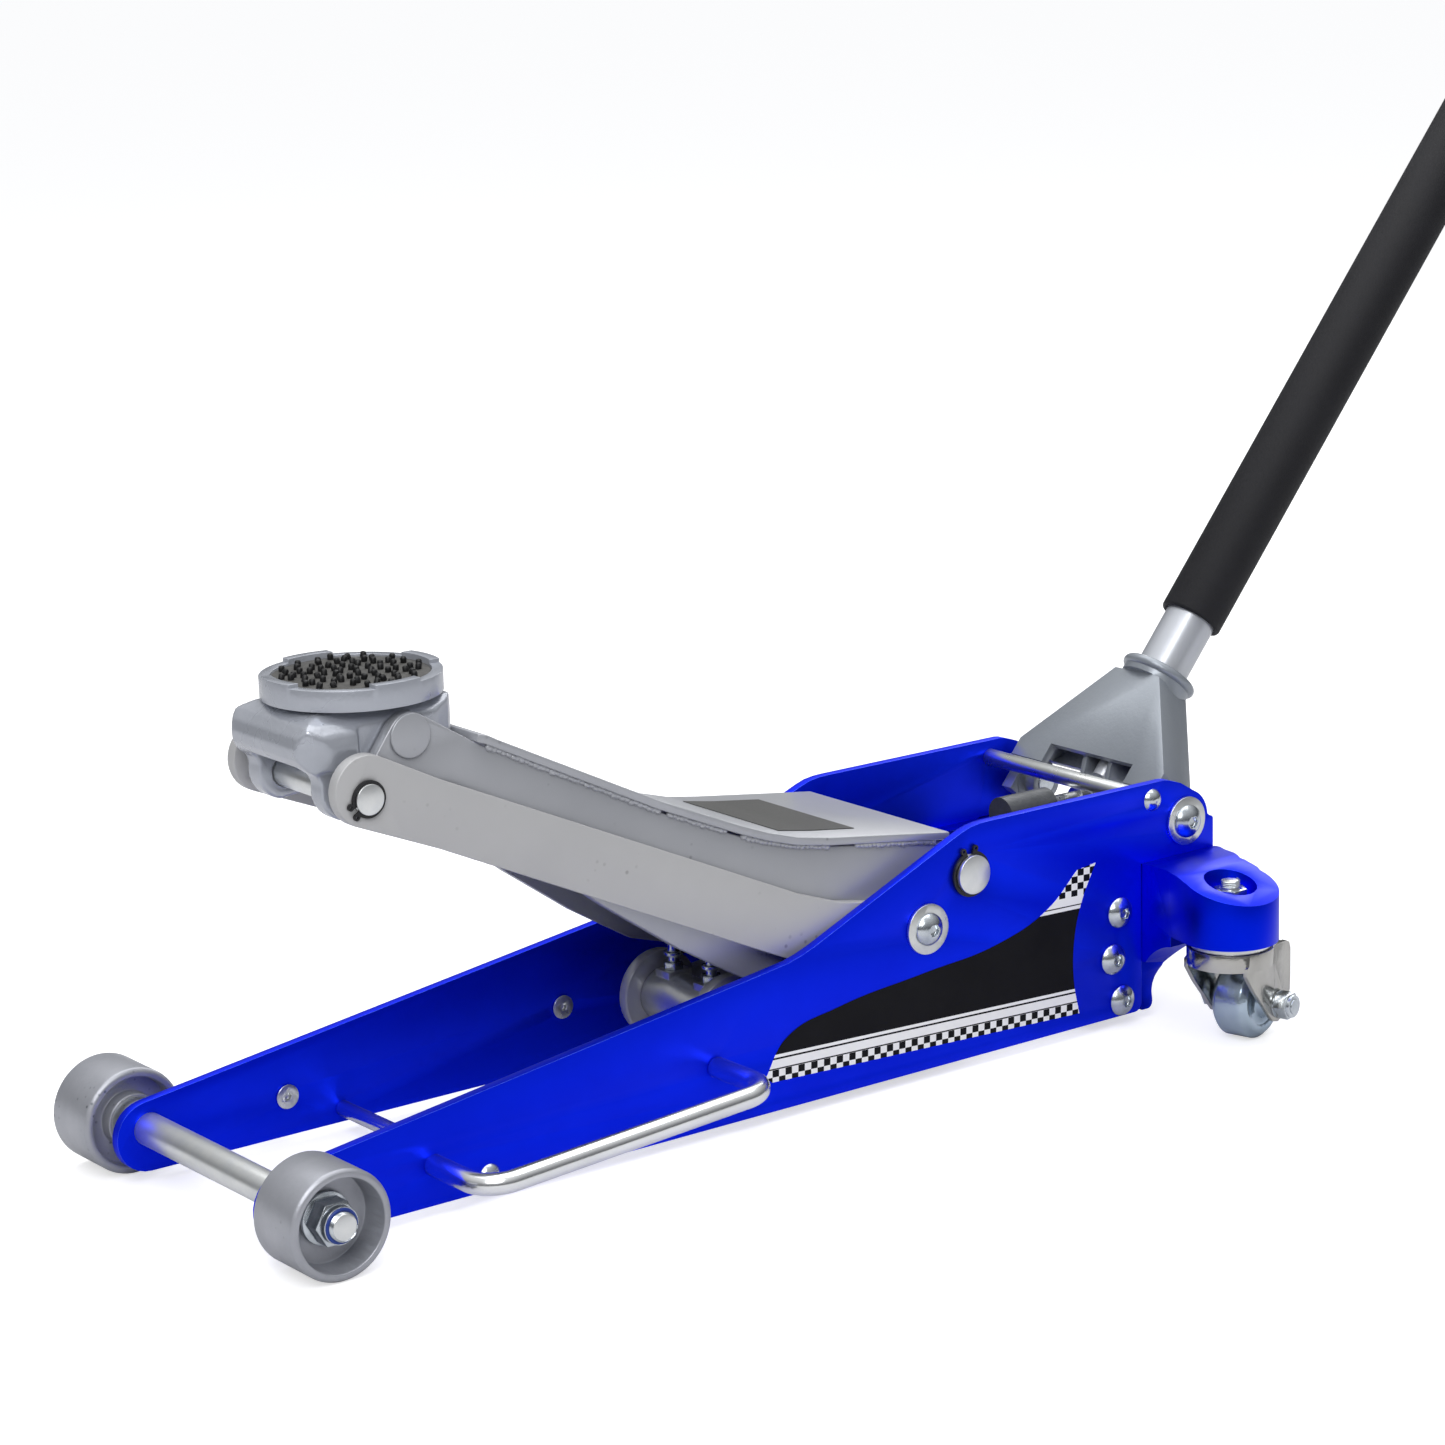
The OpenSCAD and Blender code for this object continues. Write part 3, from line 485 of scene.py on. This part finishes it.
# ---------------------------------------------------------------- side decals
# the film's outline as x and height in drawing millimetres; the points not listed as sharp are rounded
DECAL_OUTLINE = [(334, 29), (350, 51), (392, 62.5), (460, 70), (523, 77), (564, 91.5), (589, 112.5),
                 (605, 114.5), (592, 89), (585.8, 64), (585.6, 38), (590, 16.2), (339, 25.5)]
DECAL_SHARP = {0, 6, 7, 11, 12}
# in metres, how far out the film's inner face lies, and the film's thickness
FILM_INNER, FILM_THICK = 0.08452, 0.00022


def decal_finish():
    """Black field with white bands and chequers near its bottom edge and its upper tip."""
    mat = bpy.data.materials.new("decal_print")
    mat.use_nodes = True
    nodes, links = mat.node_tree.nodes, mat.node_tree.links
    shader = nodes["Principled BSDF"]
    shader.inputs["Specular IOR Level"].default_value = 0.12
    where = nodes.new("ShaderNodeTexCoord")

    def place(origin, turn, scale):
        """Coordinates from an origin, turned in the plane of the plate, in units of the scale."""
        node = nodes.new("ShaderNodeMapping")
        node.vector_type = "TEXTURE"
        node.inputs["Location"].default_value = origin
        node.inputs["Rotation"].default_value = (0, turn, 0)
        node.inputs["Scale"].default_value = scale
        links.new(where.outputs["Object"], node.inputs["Vector"])
        return node

    def chequer(mapped):
        """0 and 1 by turns, one unit of the mapping to a square."""
        node = nodes.new("ShaderNodeTexChecker")
        node.inputs["Scale"].default_value = 1
        node.inputs["Color1"].default_value = (0, 0, 0, 1)
        node.inputs["Color2"].default_value = (1, 1, 1, 1)
        links.new(mapped.outputs[0], node.inputs["Vector"])
        return node.outputs["Fac"]

    def bands(origin, turn, ruler, stops):
        """Stretches stacked up from an origin; each starts at its height in mm, up to the ruler's length."""
        mapped = place(origin, turn, [ruler / 1000] * 3)
        split = nodes.new("ShaderNodeSeparateXYZ")
        ramp = nodes.new("ShaderNodeValToRGB")
        ramp.color_ramp.interpolation = "CONSTANT"
        ramp.color_ramp.elements.remove(ramp.color_ramp.elements[1])
        ramp.color_ramp.elements[0].color = (*stops[0][1], 1)
        for height, color in stops[1:]:
            ramp.color_ramp.elements.new(height / ruler).color = (*color, 1)
        links.new(mapped.outputs[0], split.inputs[0])
        links.new(split.outputs["Z"], ramp.inputs["Fac"])
        return ramp.outputs["Color"]

    def choose(mask, base, other):
        """The base colour where the mask is 0 and the other where it is 1."""
        node = nodes.new("ShaderNodeMix")
        node.data_type = "RGBA"
        links.new(mask, node.inputs["Factor"])
        if isinstance(base, tuple):
            node.inputs["A"].default_value = base
        else:
            links.new(base, node.inputs["A"])
        if isinstance(other, tuple):
            node.inputs["B"].default_value = other
        else:
            links.new(other, node.inputs["B"])
        return node.outputs["Result"]

    # red says that a stretch is printed and green that it is plain white, so red alone is chequers
    off, on, odd = (0, 0, 0), (1, 1, 1), (1, 0, 0)
    (right_x, right_z), (left_x, left_z) = DECAL_OUTLINE[-2:]
    slope = math.atan2(left_z - right_z, right_x - left_x)
    tip_lean = 0.03
    low_stops = [(0, odd), (7.5, off), (8.5, on), (14, off), (15, on), (17, off)]
    high_stops = [(0, off), (86.6, on), (88.8, off), (89.8, on), (95, odd)]
    low = bands(at(left_x, 0, left_z), slope, 100, low_stops)
    high = bands(at(591, 0, 0), tip_lean, 200, high_stops)
    squares_low = chequer(place(at(left_x, 0.0003, 24.0), slope, (0.005, 1, 0.0046)))
    squares_high = chequer(place(at(589, 0.0003, 95.0), tip_lean, (0.0052, 1, 0.0045)))

    def printed(band, squares):
        """Where white shows: all of a white stretch, and every other square of a chequered one."""
        parts = nodes.new("ShaderNodeSeparateColor")
        links.new(band, parts.inputs[0])
        same = nodes.new("ShaderNodeMath")
        same.operation = "SUBTRACT"
        links.new(parts.outputs[0], same.inputs[0])
        links.new(parts.outputs[1], same.inputs[1])
        chequered = nodes.new("ShaderNodeMath")
        chequered.operation = "MULTIPLY"
        links.new(same.outputs[0], chequered.inputs[0])
        links.new(squares, chequered.inputs[1])
        total = nodes.new("ShaderNodeMath")
        total.operation = "ADD"
        links.new(chequered.outputs[0], total.inputs[0])
        links.new(parts.outputs[1], total.inputs[1])
        return total.outputs[0]

    both = nodes.new("ShaderNodeMath")
    both.operation = "MAXIMUM"
    links.new(printed(low, squares_low), both.inputs[0])
    links.new(printed(high, squares_high), both.inputs[1])
    surface = nodes.new("ShaderNodeGroup")
    surface.node_tree = GRAIN
    surface.inputs["Cloud Scale"].default_value = 25
    surface.inputs["Grain Scale"].default_value = 900
    ink = choose(surface.outputs["Cloud"], (0.004, 0.004, 0.006, 1), (0.008, 0.008, 0.010, 1))
    film = choose(surface.outputs["Cloud"], (0.95, 0.95, 0.96, 1), (0.90, 0.90, 0.91, 1))
    links.new(choose(both.outputs[0], ink, film), shader.inputs["Base Color"])
    gloss = nodes.new("ShaderNodeMapRange")
    gloss.inputs["To Min"].default_value = 0.52
    gloss.inputs["To Max"].default_value = 0.60
    links.new(surface.outputs["Cloud"], gloss.inputs["Value"])
    links.new(gloss.outputs[0], shader.inputs["Roughness"])
    relief = nodes.new("ShaderNodeBump")
    relief.inputs["Strength"].default_value = 0.08
    relief.inputs["Distance"].default_value = 0.00005
    links.new(surface.outputs["Grain"], relief.inputs["Height"])
    links.new(relief.outputs["Normal"], shader.inputs["Normal"])
    return mat


def side_decal(side, name, mat):
    """A thin swept film on the outer face of a side plate."""
    deselect()
    bpy.ops.curve.primitive_bezier_circle_add(location=(0, 0, 0))
    obj = bpy.context.object
    data = obj.data
    data.dimensions = "2D"
    data.fill_mode = "BOTH"
    data.resolution_u = 8
    data.splines.clear()
    line = data.splines.new("BEZIER")
    line.bezier_points.add(len(DECAL_OUTLINE) - 1)
    line.use_cyclic_u = True
    for i, (x, z) in enumerate(DECAL_OUTLINE):
        p = line.bezier_points[i]
        p.co = (at(x, 0, z).x, z / 1000, 0)
        p.handle_left_type = p.handle_right_type = "VECTOR" if i in DECAL_SHARP else "AUTO"
    pick(obj)
    bpy.ops.object.convert(target="MESH")
    obj = bpy.context.object
    obj.rotation_euler = (math.radians(90), 0, 0)
    obj.location = (0, side * FILM_INNER, 0)
    bpy.ops.object.transform_apply(location=True, rotation=True, scale=True)
    bpy.ops.object.mode_set(mode="EDIT")
    bpy.ops.mesh.select_all(action="SELECT")
    bpy.ops.mesh.remove_doubles(threshold=0.00002)
    bpy.ops.mesh.extrude_region_move(TRANSFORM_OT_translate={"value": (0, side * FILM_THICK, 0)})
    bpy.ops.mesh.select_all(action="SELECT")
    bpy.ops.mesh.normals_make_consistent(inside=False)
    bpy.ops.object.mode_set(mode="OBJECT")
    done(obj, name, "frame", mat, 20)


# ---------------------------------------------------------------- springs, threads and rubber
def coil(start, axis, radius, wire, pitch, turns, steps, ring):
    """A round wire wound along X, Y or Z from a start point, in drawing millimetres."""
    deselect()
    bpy.ops.mesh.primitive_circle_add(vertices=ring, radius=wire / 1000, fill_type="NOTHING",
                                      location=(0, 0, 0))
    obj = bpy.context.object
    offset = (0, 0, radius / 1000) if axis == "X" else (radius / 1000, 0, 0)
    obj.rotation_euler = (0 if axis == "Y" else math.radians(90), 0, 0)
    bpy.ops.object.transform_apply(location=False, rotation=True, scale=False)
    bpy.ops.object.mode_set(mode="EDIT")
    bpy.ops.mesh.select_all(action="SELECT")
    bpy.ops.transform.translate(value=offset)
    bpy.ops.object.mode_set(mode="OBJECT")
    obj.location = at(*start)
    work(obj, "SCREW", axis=axis, screw_offset=pitch / 1000, iterations=turns, steps=steps,
         render_steps=steps, use_merge_vertices=False)
    bpy.ops.object.mode_set(mode="EDIT")
    bpy.ops.mesh.select_all(action="SELECT")
    bpy.ops.mesh.remove_doubles(threshold=0.00001)
    bpy.ops.mesh.fill_holes(sides=ring)
    bpy.ops.mesh.select_all(action="SELECT")
    bpy.ops.mesh.normals_make_consistent(inside=False)
    bpy.ops.object.mode_set(mode="OBJECT")
    return obj


def torus(place, ring, wire):
    """A round ring with its axis across the jack, in drawing millimetres."""
    deselect()
    bpy.ops.mesh.primitive_torus_add(major_radius=ring / 1000, minor_radius=wire / 1000, major_segments=24,
                                     minor_segments=8, location=at(*place), rotation=(math.radians(90), 0, 0))
    return bpy.context.object


def springs():
    """Two return springs beside the ram, with a hook ring at each end."""
    spread, height, front_hook, rear_hook = 20, 88, 349.5, 556
    parts = []
    for y in (-spread, spread):
        parts.append(coil((355, y, height), "X", radius=6.2, wire=1.2, pitch=3.3, turns=60, steps=14, ring=6))
        parts.append(torus((front_hook, y, height), ring=5.2, wire=1.15))
        parts.append(torus((rear_hook, y, height), ring=4.6, wire=1.15))
    obj = done(joined(parts, "springs"), "coil_springs", None, SPRING, 60)
    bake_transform(obj)
    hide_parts("return_springs")


def threads():
    """Bolt threads past the nuts of the front axle and of the caster stems, and the nuts' nylon rings."""
    axle_height, thread_start, ring_middle, turns, pitch = 32.5, 137.6, 137.3, 3, 1.2
    stem_x, stem_y, stem_z = 654, 158, 104.3
    parts = []
    for side in (-1, 1):
        y = thread_start if side > 0 else -thread_start - turns * pitch
        parts.append(coil((0, y, axle_height), "Y", radius=7.7, wire=0.75, pitch=pitch, turns=turns,
                          steps=28, ring=4))
    done(joined(parts, "threads"), "axle_thread", "frame", BOLT, 30)
    parts = [coil((stem_x, side * stem_y, stem_z), "Z", radius=5.75, wire=0.6, pitch=1.1, turns=4,
                  steps=24, ring=4) for side in (-1, 1)]
    done(joined(parts, "stem_threads"), "stem_thread", "frame", BOLT, 30)
    parts = [torus((0, side * ring_middle, axle_height), ring=9.3, wire=1.3) for side in (-1, 1)]
    done(joined(parts, "rings"), "nylon_rings", "frame", NYLON, 60)


def rubber_nubs():
    """Short round-ended rubber pegs, leaning a little each its own way."""
    deselect()
    bpy.ops.mesh.primitive_cylinder_add(vertices=9, radius=0.0019, depth=0.0048, location=(0, 0, 0))
    peg = bpy.context.object
    bpy.ops.object.mode_set(mode="EDIT")
    bpy.ops.mesh.select_all(action="SELECT")
    bpy.ops.mesh.bevel(offset=0.0012, segments=2, affect="EDGES")
    bpy.ops.object.mode_set(mode="OBJECT")
    luck = random.Random(11)
    count, field_radius, golden_angle, pad_middle, peg_height = 72, 42.5, 2.39996, 107, 305.6
    pegs = []
    for i in range(count):
        reach = field_radius * math.sqrt((i + 0.5) / count)
        turn = i * golden_angle + luck.uniform(-0.12, 0.12)
        place = at(pad_middle + reach * math.cos(turn), reach * math.sin(turn), peg_height)
        lean_axis = (math.cos(i * 1.7), math.sin(i * 1.7), 0)
        lean = Matrix.Rotation(math.radians(luck.uniform(0, 24)), 4, lean_axis)
        stretch = Matrix.Diagonal((1, 1, luck.uniform(0.85, 1.05), 1))
        pegs.append(twin(peg, Matrix.Translation(place) @ lean @ stretch))
    bpy.data.objects.remove(peg)
    for p in pegs:
        pick(p)
        bpy.ops.object.transform_apply(location=True, rotation=True, scale=True)
    done(joined(pegs, "pegs"), "rubber_pegs", BODY["saddle_nubs"], RUBBER, 60,
         stands_for=("saddle_nubs",))


# ---------------------------------------------------------------- arm
# the underside of the cover along the arm, as x and height in drawing millimetres
COVER_UNDER = [(158, 263.6), (167.8, 259.3), (277.3, 204.2), (333, 179.8), (353.6, 171.8), (375.4, 165.2),
               (399.2, 161), (486, 148.7)]
# stretches of x that are left without weld
WELD_GAPS = ((281, 286), (326, 338), (402, 420))
# where the arm's sides start and stop to spread, and how far out they stand there
FLARE_START, FLARE_END, NARROW_SIDE, WIDE_SIDE = 150, 430, 50, 68


def cover_under(x):
    """Height of the cover's underside."""
    for (x0, z0), (x1, z1) in zip(COVER_UNDER, COVER_UNDER[1:]):
        if x <= x1:
            return z0 + (z1 - z0) * (x - x0) / (x1 - x0)
    return COVER_UNDER[-1][1]


def arm_side(x):
    """How far out the arm's side stands."""
    if x < FLARE_END:
        return NARROW_SIDE + (x - FLARE_START) * (WIDE_SIDE - NARROW_SIDE) / (FLARE_END - FLARE_START)
    return WIDE_SIDE


def weld_seams():
    """Uneven weld runs under the lip of the cover, down both sides of the arm."""
    deselect()
    bpy.ops.mesh.primitive_ico_sphere_add(subdivisions=2, radius=0.0021, location=(0, 0, 0))
    bead = bpy.context.object
    luck = random.Random(5)
    beads = []
    lean = Matrix.Rotation(math.radians(26), 4, "Y")
    first, last = 166.0, 484
    for side in (-1, 1):
        x = first
        while x < last:
            if not any(start < x < end for start, end in WELD_GAPS):
                place = at(x, side * (arm_side(x) + 0.3), cover_under(x) - 1.0 + luck.uniform(-0.35, 0.35))
                sizes = (luck.uniform(1.1, 1.6), luck.uniform(0.8, 1.05), luck.uniform(0.8, 1.15), 1)
                beads.append(twin(bead, Matrix.Translation(place) @ lean @ Matrix.Diagonal(sizes)))
            x += luck.uniform(2.4, 3.4)
    bpy.data.objects.remove(bead)
    done(joined(beads, "beads"), "weld_seams", "lift_arm", GREY, 80)


def label_plate():
    """A blank dark label on the flat rear part of the cover."""
    cover = bpy.data.objects["arm_cover_eased"]
    deselect()
    bpy.ops.mesh.primitive_grid_add(x_subdivisions=14, y_subdivisions=14, size=1, location=at(406, 1, 200))
    obj = bpy.context.object
    length, width = 0.060, 0.098
    obj.scale = (length, width, 1)
    bpy.ops.object.transform_apply(location=False, rotation=False, scale=True)
    work(obj, "SHRINKWRAP", target=cover, wrap_method="PROJECT", use_project_z=True,
         use_negative_direction=True, use_positive_direction=False, offset=0.0002)
    work(obj, "SOLIDIFY", thickness=0.0003, offset=1)
    done(obj, "cover_label", "lift_arm", LABEL, 30)


light_room()
add_floor()
add_camera()
coat_nodes()
ease_nodes()
cast_head()
decal_print = decal_finish()
side_decal(-1, "decal_left", decal_print)
side_decal(1, "decal_right", decal_print)
springs()
threads()
rubber_nubs()
weld_seams()
label_plate()
